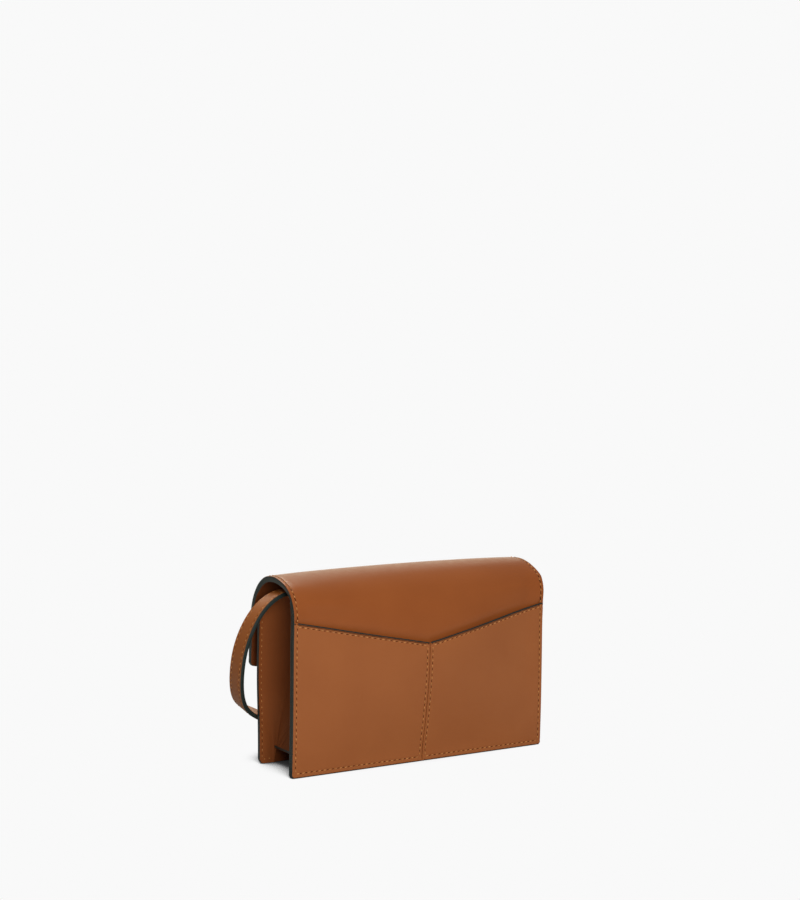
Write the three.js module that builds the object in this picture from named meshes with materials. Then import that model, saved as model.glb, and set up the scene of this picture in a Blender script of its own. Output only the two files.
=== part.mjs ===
// A small flap clutch bag in smooth leather, standing on its base with the flap shut.
// Millimetres, +Z up. The flap's front faces -Y and the slip pocket on the back faces +Y.
// Left and right are as seen from the back, so the left end is at +X.
import * as THREE from 'three';

// Driving dimensions
const bagWidth = 200;
const halfWidth = bagWidth / 2;
const gap = 0.3; // between pieces that lie against each other
const flapThickness = 3; // the flap is two layers, with a painted edge
const panelThickness = 1.6; // the back and front panels, one layer
const pocketThickness = 1.4;
const gussetThickness = 1.4;

const pocketEndHeight = 100.5; // the pocket's top edge at the bag's ends
const pocketPointHeight = 80; // and at the centre seam
const flapEndHeight = 63; // the flap's lower edge at the bag's ends
const flapPointHeight = 44; // and at its point
const flapCornerRadius = 4;
const rollStartHeight = 104; // the leather gets its second layer between these two heights
const rollFullHeight = 116;
const rollRise = 2.4; // the rolled top climbs this much from the left end to the right
const panelCornerRadius = 3; // the lower corners of the front, back and pocket
const panelCells = 6; // columns of a panel, from an end gusset to the middle

const gussetInset = 12; // how far the end gussets sit in from the bag's ends
const gussetFoldRadius = { bottom: 1.2, top: 4 }; // the fold is crisp at the floor and soft higher up
const gussetFoldDepth = 3; // the end gussets bow inwards, so that the bag can open
const webHeight = 10; // the bottom gusset and the end gussets' lower edges, above the floor
const softHeight = 60; // the end gussets have their full fold from here up
const swellReach = halfWidth - gussetInset; // the panels swell between the end gussets
const swellPower = 1.5; // how softly the swell runs out towards them
const gussetTop = { front: 106, middle: 114.6, back: 109, middleDepth: -5 };

const strapWidth = 14;
const strapThickness = 2;
const rightReachShare = 0.75; // the right end of the strap swings out less than the left

const snapRadius = 8;
const snapHeight = 62;
const snapSides = 24;

// The shell's section at the bag's ends, its outer face from the floor at the back, over the rolled top and
// down the flap. swell is how far the leather stands out from this at mid-width.
const shellSection = [
  { depth: 21.1, height: 0, swell: 0 },
  { depth: 21.1, height: 8, swell: 0 },
  { depth: 21.9, height: 30, swell: 3.2 },
  { depth: 21.7, height: 60, swell: 6.7 },
  { depth: 21.2, height: 86, swell: 7.5 },
  { depth: 21.8, height: 104, swell: 5.8 },
  { depth: 19.6, height: 113.8, swell: 3.8 },
  { depth: 12.6, height: 120.9, swell: 2.5 },
  { depth: 2.8, height: 124.9, swell: 1.9 },
  { depth: -7.5, height: 126.2, swell: 1.7 },
  { depth: -17.5, height: 124.6, swell: 1.6 },
  { depth: -26.4, height: 119, swell: 1.5 },
  { depth: -32.4, height: 110.4, swell: 1.4 },
  { depth: -35.2, height: 100, swell: 1.3 },
  { depth: -36.4, height: 78, swell: 1.1 },
  { depth: -36.3, height: 58, swell: 0.9 },
  { depth: -35.4, height: 40, swell: 0.7 },
];
const rollStartRow = 5; // the back ends here
const flapFrontRow = 14; // the flap's front starts here

const frontSection = [
  { depth: -22.9, height: 0, swell: 0 },
  { depth: -22.9, height: 8, swell: 0 },
  { depth: -23.9, height: 28, swell: 0.8 },
  { depth: -26, height: 55, swell: 2 },
  { depth: -26.2, height: 82, swell: 2 },
  { depth: -25.7, height: 108, swell: 1 },
];

// The strap's middle line at the left end, from its sewn end inside the gusset, out under the flap, round and
// down to the floor in front of the bag. tilt lifts the strap's front edge, in degrees.
const strapRun = [
  { across: 81.8, depth: -5, height: 90, tilt: 0 },
  { across: 81.8, depth: -5, height: 105, tilt: 0 },
  { across: 82, depth: -5, height: 113.4, tilt: 0 },
  { across: 85, depth: -5, height: 117.2, tilt: 0 },
  { across: 91, depth: -5, height: 117.4, tilt: -4 },
  { across: 99.5, depth: -5, height: 114.2, tilt: -4 },
  { across: 108.6, depth: -5.2, height: 107.6, tilt: -2 },
  { across: 114.4, depth: -6.8, height: 98, tilt: 2 },
  { across: 119.2, depth: -10.5, height: 81.5, tilt: 6 },
  { across: 120.2, depth: -14.8, height: 66, tilt: 9 },
  { across: 117.4, depth: -22, height: 48, tilt: 14 },
  { across: 107, depth: -30.4, height: 36.8, tilt: 18 },
  { across: 92, depth: -36.3, height: 28.8, tilt: 18 },
  { across: 76, depth: -39, height: 18, tilt: 12 },
  { across: 60, depth: -40.5, height: 8.5, tilt: 5 },
  { across: 44, depth: -41, height: 2.4, tilt: 0 },
  { across: 24, depth: -41, height: 1, tilt: 0 },
];

const leatherTan = 0x9a5c33;
const strapTan = 0x87502e;
const snapSteel = 0x8c8a86;

// The curve through a section's rows. Its points hold swell, depth and height.
function sectionCurve(rows) {
  return new THREE.CatmullRomCurve3(rows.map((row) => new THREE.Vector3(row.swell, row.depth, row.height)));
}

// Where a curve reaches a height, between two places along it, found by halving.
function placeAtHeight(curve, height, from, to) {
  const rising = curve.getPoint(to).z > curve.getPoint(from).z;
  const halvings = 40;
  let [low, high] = [from, to];
  for (let step = 0; step < halvings; step++) {
    const middle = (low + high) / 2;
    const below = curve.getPoint(middle).z < height;
    if (below === rising) low = middle;
    else high = middle;
  }
  return (low + high) / 2;
}

// A value between evenly numbered stops, as a share of the way from the first to the last.
function betweenStops(stops, share) {
  const along = share * (stops.length - 1);
  const first = Math.min(Math.floor(along), stops.length - 2);
  return THREE.MathUtils.lerp(stops[first], stops[first + 1], along - first);
}

// How much of the swell shows at a place across the bag: all at mid-width, none over the sewn ends.
function swellShare(across) {
  return Math.max(0, 1 - (across / swellReach) ** 2) ** swellPower;
}

// A sheet of leather with square-cut edges. point(u, v) is its outer face, which looks along du x dv.
function leatherSheet(point, columns, rows, thickness) {
  const step = 1e-4;
  const thicknessAt = typeof thickness === 'function' ? thickness : () => thickness;
  const outer = [];
  const inner = [];
  for (let row = 0; row <= rows; row++) {
    for (let column = 0; column <= columns; column++) {
      const [u, v] = [column / columns, row / rows];
      const here = point(u, v);
      const alongU = point(Math.min(u + step, 1), v).sub(point(Math.max(u - step, 0), v));
      const alongV = point(u, Math.min(v + step, 1)).sub(point(u, Math.max(v - step, 0)));
      const normal = alongU.cross(alongV).normalize();
      outer.push(...here.toArray());
      inner.push(...here.addScaledVector(normal, -thicknessAt(u, v)).toArray());
    }
  }

  const side = (columns + 1) * (rows + 1);
  const at = (column, row) => row * (columns + 1) + column;
  const faces = [];
  const quad = (a, b, c, d) => faces.push(a, b, c, a, c, d);
  for (let row = 0; row < rows; row++) {
    for (let column = 0; column < columns; column++) {
      const [a, b] = [at(column, row), at(column + 1, row)];
      const [c, d] = [at(column + 1, row + 1), at(column, row + 1)];
      quad(a, b, c, d);
      quad(a + side, d + side, c + side, b + side);
    }
  }
  const rim = (a, b) => quad(b, a, a + side, b + side);
  for (let column = 0; column < columns; column++) {
    rim(at(column, 0), at(column + 1, 0));
    rim(at(column + 1, rows), at(column, rows));
  }
  for (let row = 0; row < rows; row++) {
    rim(at(columns, row), at(columns, row + 1));
    rim(at(0, row + 1), at(0, row));
  }

  const sheet = new THREE.BufferGeometry();
  sheet.setAttribute('position', new THREE.Float32BufferAttribute([...outer, ...inner], 3));
  sheet.setIndex(faces);
  sheet.computeVertexNormals();
  return sheet;
}

const shellCurve = sectionCurve(shellSection);
const shellPlace = (row) => row / (shellSection.length - 1);
const frontCurve = sectionCurve(frontSection);

// A point of a section carried across the bag, moved out by its swell and by proud. facing is 1 where the
// section runs up the back, and -1 where it runs up the front.
function sectionPoint(curve, facing, across, place, proud = 0) {
  const { x: swell, y: depth, z: height } = curve.getPoint(place);
  const tangent = curve.getTangent(place);
  const outwards = new THREE.Vector2(tangent.z, -tangent.y).normalize().multiplyScalar(facing);
  const out = swell * swellShare(across) + proud;
  return new THREE.Vector3(across, depth + outwards.x * out, height + outwards.y * out);
}

// The same for the shell, whose rolled top climbs towards the right.
function shellPoint(across, place, proud = 0) {
  const point = sectionPoint(shellCurve, 1, across, place, proud);
  const climb = rollRise * (0.5 - across / bagWidth);
  point.z += climb * THREE.MathUtils.smoothstep(point.z, pocketEndHeight, rollFullHeight);
  return point;
}

// How far a rounded corner lifts a lower edge, as a parabola over the corner's last stretch.
function cornerLift(across, radius) {
  const past = Math.max(0, Math.abs(across) - (halfWidth - radius));
  return past ** 2 / radius;
}

// The shell's thickness where its section is at a height: one layer up the back, two over the roll and flap.
function shellThickness(place) {
  if (place > shellPlace(rollStartRow + 2)) return flapThickness;
  const height = shellCurve.getPoint(place).z;
  const share = THREE.MathUtils.smoothstep(height, rollStartHeight, rollFullHeight);
  return THREE.MathUtils.lerp(panelThickness, flapThickness, share);
}

// The flap's lower edge: a wide V with rounded corners.
function flapEdgeHeight(across) {
  const straight = THREE.MathUtils.lerp(flapPointHeight, flapEndHeight, Math.abs(across) / halfWidth);
  return straight + cornerLift(across, flapCornerRadius);
}

// Places across a panel, from the left end to the middle, closer together at the rounded corners.
const cornerStops = [halfWidth, halfWidth - panelCornerRadius / 3, halfWidth - panelCornerRadius];
const swellStops = Array.from({ length: panelCells }, (_, cell) => swellReach * (1 - cell / panelCells));
const leftStops = [...cornerStops, ...swellStops];

// The back panel, rolled top and flap, in one piece of leather.
function shell() {
  const stops = [...leftStops, 0, ...leftStops.map((stop) => -stop).reverse()];
  const cellsPerRow = 3;
  const upperCells = flapFrontRow * cellsPerRow;
  const flapCells = 6;
  const rows = upperCells + flapCells;
  const flapStart = shellPlace(flapFrontRow);
  const placeAt = (across, v) => {
    const cell = v * rows;
    const floor = placeAtHeight(shellCurve, cornerLift(across, panelCornerRadius), 0, shellPlace(1));
    if (cell <= upperCells) return THREE.MathUtils.lerp(floor, flapStart, cell / upperCells);
    const edge = placeAtHeight(shellCurve, flapEdgeHeight(across), flapStart, 1);
    return THREE.MathUtils.lerp(flapStart, edge, (cell - upperCells) / flapCells);
  };
  const point = (u, v) => {
    const across = betweenStops(stops, u);
    return shellPoint(across, placeAt(across, v));
  };
  const thickness = (u, v) => shellThickness(placeAt(betweenStops(stops, u), v));
  return leatherSheet(point, stops.length - 1, rows, thickness);
}

// One half of the slip pocket, from the centre seam to the bag's end, lying on the back panel.
function pocketPanel(stops) {
  const rows = 14;
  const point = (u, v) => {
    const across = betweenStops(stops, u);
    const topHeight = THREE.MathUtils.lerp(pocketPointHeight, pocketEndHeight, Math.abs(across) / halfWidth);
    const top = placeAtHeight(shellCurve, topHeight, 0, shellPlace(rollStartRow));
    const floor = placeAtHeight(shellCurve, cornerLift(across, panelCornerRadius), 0, shellPlace(1));
    return shellPoint(across, THREE.MathUtils.lerp(floor, top, v), gap + pocketThickness);
  };
  return leatherSheet(point, stops.length - 1, rows, pocketThickness);
}

function frontPanel() {
  const stops = [...leftStops.map((stop) => -stop), 0, ...[...leftStops].reverse()];
  const rows = 14;
  const point = (u, v) => {
    const across = betweenStops(stops, u);
    const floor = placeAtHeight(frontCurve, cornerLift(across, panelCornerRadius), 0, 1);
    return sectionPoint(frontCurve, -1, across, THREE.MathUtils.lerp(floor, 1, v));
  };
  return leatherSheet(point, stops.length - 1, rows, panelThickness);
}

// Where the gussets' flanges show: the faces that look into the channel, at a height above the floor.
function flangeDepths(height) {
  const front = frontCurve.getPoint(placeAtHeight(frontCurve, height, 0, 1)).y;
  const backPlace = placeAtHeight(shellCurve, height, 0, shellPlace(rollStartRow + 1));
  const back = shellCurve.getPoint(backPlace).y;
  return {
    front: front + panelThickness + gap + gussetThickness,
    back: back - shellThickness(backPlace) - gap - gussetThickness,
  };
}

// A gusset is a channel: a flange, a fold, the web, a fold and a flange. These are its stretches, with x the
// distance out from the web and y the depth in the bag, and the cells that each stretch is cut into.
const channelCells = [2, 3, 6, 3, 2];
const channelColumns = channelCells.reduce((sum, count) => sum + count);
function channelStretches({ front, back }, flangeLength, radius) {
  const at = (out, depth) => new THREE.Vector2(out, depth);
  const fold = (depth, from, to) => new THREE.EllipseCurve(radius, depth, radius, radius, from, to, true);
  return [
    new THREE.LineCurve(at(flangeLength, front), at(radius, front)),
    fold(front + radius, 1.5 * Math.PI, Math.PI),
    new THREE.LineCurve(at(0, front + radius), at(0, back - radius)),
    fold(back - radius, Math.PI, 0.5 * Math.PI),
    new THREE.LineCurve(at(radius, back), at(flangeLength, back)),
  ];
}

// The point of a channel at a column of its cells.
function channelPoint(stretches, column) {
  let stretch = 0;
  let cell = column;
  while (stretch < channelCells.length - 1 && cell > channelCells[stretch]) {
    cell -= channelCells[stretch];
    stretch += 1;
  }
  return stretches[stretch].getPoint(cell / channelCells[stretch]);
}

// An end gusset: its flanges are sewn to the panels and its web is set in from the bag's end.
function sideGusset(end) {
  const rows = 14;
  const webStart = channelCells[0] + channelCells[1];
  const webEnd = webStart + channelCells[2];
  const topFlanges = flangeDepths(gussetTop.front);
  const topStretches = channelStretches(topFlanges, gussetInset, gussetFoldRadius.top);
  const topAt = (depth) => {
    const towards = depth < gussetTop.middleDepth ? 'front' : 'back';
    const share = (depth - gussetTop.middleDepth) / (topFlanges[towards] - gussetTop.middleDepth);
    return THREE.MathUtils.lerp(gussetTop.middle, gussetTop[towards], share ** 2);
  };
  const heightAt = (column, v) => {
    const { x: out, y: depth } = channelPoint(topStretches, column);
    const intoWeb = THREE.MathUtils.clamp(Math.min(column - webStart, webEnd - column) + 1, 0, 1);
    const corner = cornerLift(swellReach + out, panelCornerRadius);
    return THREE.MathUtils.lerp(Math.max(webHeight * intoWeb, corner), topAt(depth), v);
  };
  const point = (u, v) => {
    const column = channelColumns * (end > 0 ? u : 1 - u);
    const height = heightAt(column, v);
    const flanges = flangeDepths(Math.min(height, gussetTop.back));
    const softness = THREE.MathUtils.smoothstep(height, webHeight, softHeight);
    const radius = THREE.MathUtils.lerp(gussetFoldRadius.bottom, gussetFoldRadius.top, softness);
    const { x: out, y: depth } = channelPoint(channelStretches(flanges, gussetInset, radius), column);
    const middle = Math.sin((Math.PI * (depth - flanges.front)) / (flanges.back - flanges.front));
    const fold = gussetFoldDepth * middle ** 2 * softness;
    return new THREE.Vector3(end * (swellReach + out - fold), depth, height);
  };
  return leatherSheet(point, channelColumns, rows, gussetThickness);
}

// The bottom gusset: a channel open to the floor, its flanges sewn to the panels.
function bottomGusset() {
  const rows = 12;
  const reach = swellReach - gussetThickness - gap;
  const stretches = channelStretches(flangeDepths(0), webHeight, gussetFoldRadius.top);
  const point = (u, v) => {
    const { x: out, y: depth } = channelPoint(stretches, u * channelColumns);
    return new THREE.Vector3(THREE.MathUtils.lerp(-reach, reach, v), depth, webHeight - out);
  };
  return leatherSheet(point, channelColumns, rows, gussetThickness);
}

// The carrying strap, from one end gusset out, down and along the floor in front of the bag to the other.
function strap() {
  const rightReach = (across) => across - Math.max(0, across - halfWidth) * (1 - rightReachShare);
  const rightRun = strapRun.map((row) => ({ ...row, across: -rightReach(row.across) })).reverse();
  const run = [...strapRun, ...rightRun];
  const places = run.map((row) => new THREE.Vector3(row.across, row.depth, row.height));
  const line = new THREE.CatmullRomCurve3(places);
  const tilts = run.map((row) => THREE.MathUtils.degToRad(row.tilt));
  const rows = 84;
  const point = (u, v) => {
    const middle = line.getPoint(v);
    const tangent = line.getTangent(v);
    const tilt = betweenStops(tilts, v);
    const width = new THREE.Vector3(0, -Math.cos(tilt), Math.sin(tilt));
    width.addScaledVector(tangent, -width.dot(tangent)).normalize();
    const outwards = width.clone().cross(tangent);
    middle.z = Math.max(middle.z, strapThickness / 2);
    middle.addScaledVector(width, (u - 0.5) * strapWidth);
    return middle.addScaledVector(outwards, strapThickness / 2);
  };
  return leatherSheet(point, 1, rows, strapThickness);
}

// The hidden snap between the flap and the front panel, as one plain disc.
function magneticSnap(material) {
  const frontPlace = placeAtHeight(frontCurve, snapHeight, 0, 1);
  const flapPlace = placeAtHeight(shellCurve, snapHeight, shellPlace(flapFrontRow), 1);
  const near = sectionPoint(frontCurve, -1, 0, frontPlace).y - gap;
  const far = shellPoint(0, flapPlace, -flapThickness).y + 2 * gap;
  const round = new THREE.CylinderGeometry(snapRadius, snapRadius, near - far, snapSides);
  const disc = new THREE.Mesh(round, material);
  disc.position.set(0, (near + far) / 2, snapHeight);
  return disc;
}

function leather(color) {
  return new THREE.MeshStandardMaterial({ color, roughness: 0.45, metalness: 0 });
}

const leftPocketStops = [...leftStops, gap / 2];
const rightPocketStops = leftPocketStops.map((stop) => -stop).reverse();
const leatherPieces = {
  shell: shell(),
  pocket_panel_left: pocketPanel(leftPocketStops),
  pocket_panel_right: pocketPanel(rightPocketStops),
  front_panel: frontPanel(),
  side_gusset_left: sideGusset(1),
  side_gusset_right: sideGusset(-1),
  bottom_gusset: bottomGusset(),
  strap: strap(),
};

const bag = new THREE.Group();
for (const [name, geometry] of Object.entries(leatherPieces)) {
  const piece = new THREE.Mesh(geometry, leather(name === 'strap' ? strapTan : leatherTan));
  piece.name = name;
  bag.add(piece);
}
const snap = magneticSnap(new THREE.MeshStandardMaterial({ color: snapSteel, roughness: 0.3, metalness: 1 }));
snap.name = 'magnetic_snap';
bag.add(snap);

// The origin is under the middle of the whole bag, on the floor.
const box = new THREE.Box3().setFromObject(bag);
const middle = box.getCenter(new THREE.Vector3());
bag.position.set(-middle.x, -middle.y, -box.min.z);

export default bag;
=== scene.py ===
# %% [markdown]
# # A small flap clutch in tan leather
#
# The bag stands on a pale floor, seen from behind and from its left end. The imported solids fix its
# sizes, and each cell below dresses one of them: smooth leather sheets with painted edges, rows of
# stitches, soft end gussets, a strap and a hidden snap. Shapes are worked out in millimetres and
# become metres in the mesh.

import bpy
import numpy as np
from mathutils import Matrix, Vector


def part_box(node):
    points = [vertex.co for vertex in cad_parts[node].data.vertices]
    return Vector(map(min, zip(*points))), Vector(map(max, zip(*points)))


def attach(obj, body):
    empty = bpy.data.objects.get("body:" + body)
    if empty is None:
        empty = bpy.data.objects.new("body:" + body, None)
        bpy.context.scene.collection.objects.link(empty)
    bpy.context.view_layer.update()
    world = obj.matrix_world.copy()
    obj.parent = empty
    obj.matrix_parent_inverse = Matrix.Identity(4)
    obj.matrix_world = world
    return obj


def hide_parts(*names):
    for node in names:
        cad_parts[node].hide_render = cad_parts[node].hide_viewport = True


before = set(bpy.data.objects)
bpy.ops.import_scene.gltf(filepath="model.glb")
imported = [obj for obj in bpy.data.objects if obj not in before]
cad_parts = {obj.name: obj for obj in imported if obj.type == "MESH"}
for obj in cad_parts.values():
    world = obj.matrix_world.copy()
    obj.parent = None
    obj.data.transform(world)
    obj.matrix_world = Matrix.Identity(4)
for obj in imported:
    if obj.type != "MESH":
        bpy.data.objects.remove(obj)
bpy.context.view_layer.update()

print("packed solids:", sorted(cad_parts))

# %% [markdown]
# ## The bag's own frame
#
# A bag is easiest to draw from its middle: x runs to the left end as seen from behind, y to the back
# and z up from the floor. The frame's origin lies a little to one side, because the strap swings out
# further on the left. The difference could be typed in, but reading it from two solids that are
# centred on the bag keeps it true.

# %% From the bag's millimetres to the frame's metres
MM = 0.001
BAG_WIDTH = 200.0
HALF_WIDTH = BAG_WIDTH / 2
BASE_MIDDLE = -0.9  # the bottom gusset's middle, in front of the bag's y = 0

front_low, front_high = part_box("front_panel")
base_low, base_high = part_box("bottom_gusset")
bag_origin = np.array([
    (front_low.x + front_high.x) / 2,
    (base_low.y + base_high.y) / 2 - BASE_MIDDLE * MM,
    min(front_low.z, base_low.z),
])
print("bag origin in the frame, mm:", np.round(bag_origin / MM, 2))

# %% [markdown]
# ## Colours and nodes
#
# Colours are given as sRGB hex values, but shaders count in linear light, so one function
# turns one into the other. A material is a small graph of nodes. One helper adds a node and sets or
# links its inputs, so that a material reads as a list of what it is made of.

# %% Helpers for materials
SRGB_FOOT, SRGB_SLOPE, SRGB_OFFSET, SRGB_POWER = 0.04045, 12.92, 0.055, 2.4
MIX_SHARE, MIX_DARK, MIX_PALE, MIX_COLOUR = 0, 6, 7, 2  # a colour Mix node's inputs, and its output


def linear(hex_colour):
    """An sRGB hex colour in linear light: a straight foot, then ((c + 0.055) / 1.055)^2.4."""
    srgb = np.array([int(hex_colour[i:i + 2], 16) for i in (1, 3, 5)]) / 255
    curve = ((srgb + SRGB_OFFSET) / (1 + SRGB_OFFSET)) ** SRGB_POWER
    return (*np.where(srgb <= SRGB_FOOT, srgb / SRGB_SLOPE, curve).tolist(), 1.0)


def add_node(tree, kind, inputs, **settings):
    """Adds a node. An input given as a socket is linked, and any other value is set on it."""
    node = tree.nodes.new("ShaderNode" + kind)
    for name, value in settings.items():
        setattr(node, name, value)
    for name, value in inputs.items():
        if isinstance(value, bpy.types.NodeSocket):
            tree.links.new(value, node.inputs[name])
        else:
            node.inputs[name].default_value = value
    return node


def start_material(name):
    """A new material, its node tree and the object coordinates that its patterns follow."""
    material = bpy.data.materials.new(name)
    material.use_nodes = True
    tree = material.node_tree
    tree.nodes.clear()
    return material, tree, add_node(tree, "TexCoord", {}).outputs["Object"]


def close_material(tree, inputs):
    """Ends a material with one Principled surface."""
    surface = add_node(tree, "BsdfPrincipled", inputs)
    add_node(tree, "OutputMaterial", {"Surface": surface.outputs[0]})


print("tan #9A5C33 in linear light:", np.round(linear("#9A5C33")[:3], 3))

# %% [markdown]
# ## Smooth calf leather
#
# The bag is cut from smooth, aniline-dyed calf, pressed flat and lightly waxed. It shows a broad satin
# sheen, slow clouds of darker and paler dye, and a pore grain that can only just be seen. An image
# would give one fixed patch, so noise on object coordinates is used instead: it runs through every
# sheet without seams. Real pores are about 0.3 mm apart; they are drawn at 0.9 mm, because finer ones
# would vanish in the picture. The pocket is drawn slightly paler and more polished than the back. The
# gussets are thinner, matt leather that folds, and their darker dye is painted shade, for the shade
# that falls in the recessed ends.

# %% Leather materials
CLOUD_SIZE = 38 * MM
PORE_SIZE = 0.9 * MM
HAIR_LINE_SIZE = 4.5 * MM
GRAIN_DEPTH = 0.035 * MM
GRAIN_STRENGTH = 0.6
LINE_LOW, LINE_HIGH = 0.3, 0.7  # the range of the hair lines' noise that changes the gloss
GLOSS_SPREAD = 0.05


def leather(name, dark, pale, roughness, shine):
    """Satin leather: clouds of two dyes, pores and hair lines as a shallow bump, uneven roughness."""
    material, tree, where = start_material(name)
    clouds = add_node(tree, "TexNoise", {"Vector": where, "Scale": 1 / CLOUD_SIZE, "Detail": 4.0})
    lines = add_node(tree, "TexNoise", {"Vector": where, "Scale": 1 / HAIR_LINE_SIZE, "Detail": 8.0})
    pores = add_node(tree, "TexVoronoi", {"Vector": where, "Scale": 1 / PORE_SIZE}, feature="SMOOTH_F1")
    dye = add_node(tree, "Mix", {
        MIX_SHARE: clouds.outputs["Fac"], MIX_DARK: linear(dark), MIX_PALE: linear(pale),
    }, data_type="RGBA")
    gloss = add_node(tree, "MapRange", {
        "Value": lines.outputs["Fac"], "From Min": LINE_LOW, "From Max": LINE_HIGH,
        "To Min": roughness - GLOSS_SPREAD, "To Max": roughness + GLOSS_SPREAD,
    })
    grain = add_node(tree, "Math", {
        0: pores.outputs["Distance"], 1: lines.outputs["Fac"],
    }, operation="ADD")
    bump = add_node(tree, "Bump", {
        "Height": grain.outputs[0], "Distance": GRAIN_DEPTH, "Strength": GRAIN_STRENGTH,
    })
    close_material(tree, {
        "Base Color": dye.outputs[MIX_COLOUR], "Roughness": gloss.outputs[0], "Normal": bump.outputs[0],
        "IOR": 1.5, "Specular IOR Level": shine,
    })
    return material


tan_leather = leather("tan_smooth_calf", "#884820", "#965226", roughness=0.36, shine=0.3)
pocket_leather = leather("tan_pocket_calf", "#905129", "#9D5C30", roughness=0.45, shine=0.42)
# the gussets' darker browns are painted shade, for the shade that falls in the recessed ends
gusset_leather_shaded = leather("tan_gusset_calf_shaded", "#784120", "#834824", roughness=0.6, shine=0.12)
strap_leather = leather("strap_smooth_calf", "#965220", "#A15C27", roughness=0.42, shine=0.25)
lining_leather = leather("brown_split_lining", "#5A2D14", "#683619", roughness=0.65, shine=0.2)
print("leathers:", [material.name for material in bpy.data.materials if "calf" in material.name])

# %% [markdown]
# ## Edge paint, thread and needle holes
#
# Every cut edge carries a few coats of dark green-black edge paint, sanded between coats, so it is
# satin and a bit uneven. The seams are sewn with waxed polyester in golden tan, whose plies are drawn
# twice as coarse as real ones so that they show. Each stitch dives into a slit that the needle left,
# and at the photo's size that slit is seen as clearly as the thread; it is dull, and its dark colour is
# painted shade, for the shade inside the hole. All three are one pattern between two tones, so one
# function makes them.

# %% Paint, thread and slit materials
PAINT_RIPPLE = 2.0 * MM
PAINT_STRENGTH = 0.5
THREAD_TWIST = 1.025 * MM
WAVE_LENGTH = 2 * np.pi / (10 * np.sqrt(3))  # of a diagonal Wave Texture at scale 1


def two_tone(name, kind, pattern, dark, pale, finish, strength=0.0, **settings):
    """A pattern mixes two colours and, where a strength is given, ripples the surface. finish lists the
    surface's other inputs."""
    material, tree, where = start_material(name)
    share = add_node(tree, kind, {"Vector": where, **pattern}, **settings).outputs["Fac"]
    tone = add_node(tree, "Mix", {
        MIX_SHARE: share, MIX_DARK: linear(dark), MIX_PALE: linear(pale),
    }, data_type="RGBA")
    inputs = {"Base Color": tone.outputs[MIX_COLOUR], **finish}
    if strength:
        ripple = {"Height": share, "Distance": GRAIN_DEPTH, "Strength": strength}
        inputs["Normal"] = add_node(tree, "Bump", ripple).outputs[0]
    close_material(tree, inputs)
    return material


paint = two_tone(
    "dark_edge_paint", "TexNoise", {"Scale": 1 / PAINT_RIPPLE, "Detail": 3.0},
    "#1C2422", "#2A3431", {"Roughness": 0.38, "IOR": 1.48}, PAINT_STRENGTH,
)
thread = two_tone(
    "waxed_polyester_thread", "TexWave", {"Scale": WAVE_LENGTH / THREAD_TWIST, "Distortion": 1.5},
    "#A46A33", "#C4884B", {"Roughness": 0.55, "Sheen Weight": 0.15, "IOR": 1.5}, bands_direction="DIAGONAL",
)
# the needle slits' dark browns are painted shade, for the shade inside each hole
slit = two_tone(
    "needle_slit_shade", "TexNoise", {"Scale": 1 / PORE_SIZE}, "#43220F", "#522B14",
    {"Roughness": 0.9, "Specular IOR Level": 0.1},
)
print("trimmings:", paint.name, thread.name, slit.name)

# %% [markdown]
# ## A curve through a few measured points
#
# The bag's outline was measured at a few heights. A spline object could join them, but the same curve
# is needed as numbers for every sheet and every row of stitches, so it is a function: give it a place
# from 0 to 1, or a whole array of them, and it returns points. Each section lists depth, height and
# swell, which is how far the leather stands out at mid-width.

# %% The curve and the two sections
DEPTH, HEIGHT, SWELL = range(3)
SHELL_SECTION = np.array([
    (22.0, 0, 0), (22.0, 8, 0), (22.1, 30, 3.2), (21.7, 60, 6.7), (21.2, 86, 7.5), (21.2, 104, 6.3),
    (19.6, 113.8, 3.8), (12.6, 120.9, 2.7), (2.8, 124.9, 2.3), (-7.5, 126.2, 2.1), (-17.5, 124.6, 1.8),
    (-26.4, 119, 1.5), (-32.7, 110.4, 1.4), (-36, 100, 1.3), (-37.8, 78, 1.1), (-38, 58, 0.9),
    (-37.2, 40, 0.7),
])
FRONT_SECTION = np.array([
    (-22.9, 0, 0), (-22.9, 8, 0), (-23.9, 28, 0.8), (-26, 55, 2), (-26.2, 82, 2), (-25.7, 108, 1),
])
WALK_STEPS = 4001


def curve_through(rows, place):
    """A centripetal Catmull-Rom curve, place 0 at the first row and 1 at the last: between two rows, the
    cubic with the slopes that their neighbours give, each step weighed by the root of its length."""
    rows = np.asarray(rows, float)
    padded = np.vstack([2 * rows[0] - rows[1], rows, 2 * rows[-1] - rows[-2]])
    weight = np.sqrt(np.linalg.norm(np.diff(padded, axis=0), axis=1))
    along = np.clip(place, 0, 1) * (len(rows) - 1)
    first = np.minimum(along.astype(int), len(rows) - 2)
    share = (along - first)[..., None]
    before, start, end, after = (padded[first + k] for k in range(4))
    w0, w1, w2 = (weight[first + k][..., None] for k in range(3))
    leave = ((start - before) / w0 - (end - before) / (w0 + w1) + (end - start) / w1) * w1
    arrive = ((end - start) / w1 - (after - start) / (w1 + w2) + (after - end) / w2) * w1
    bend = 3 * (end - start) - 2 * leave - arrive
    return start + share * (leave + share * (bend + share * (2 * (start - end) + leave + arrive)))


def run_lengths(points):
    """The length of a line of points from its start to each of them."""
    return np.concatenate([[0.0], np.cumsum(np.linalg.norm(np.diff(points, axis=0), axis=1))])


def walk(section):
    """Walks a section in small steps: place, length and height at each, and which step is the top."""
    place = np.linspace(0, 1, WALK_STEPS)
    points = curve_through(section, place)[:, :SWELL]
    height = points[:, HEIGHT]
    length = run_lengths(points)
    return {"rows": section, "place": place, "length": length, "height": height, "top": np.argmax(height)}


def place_after(walked, length):
    """The place on a section after a length along it."""
    return np.interp(length, walked["length"], walked["place"])


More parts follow.
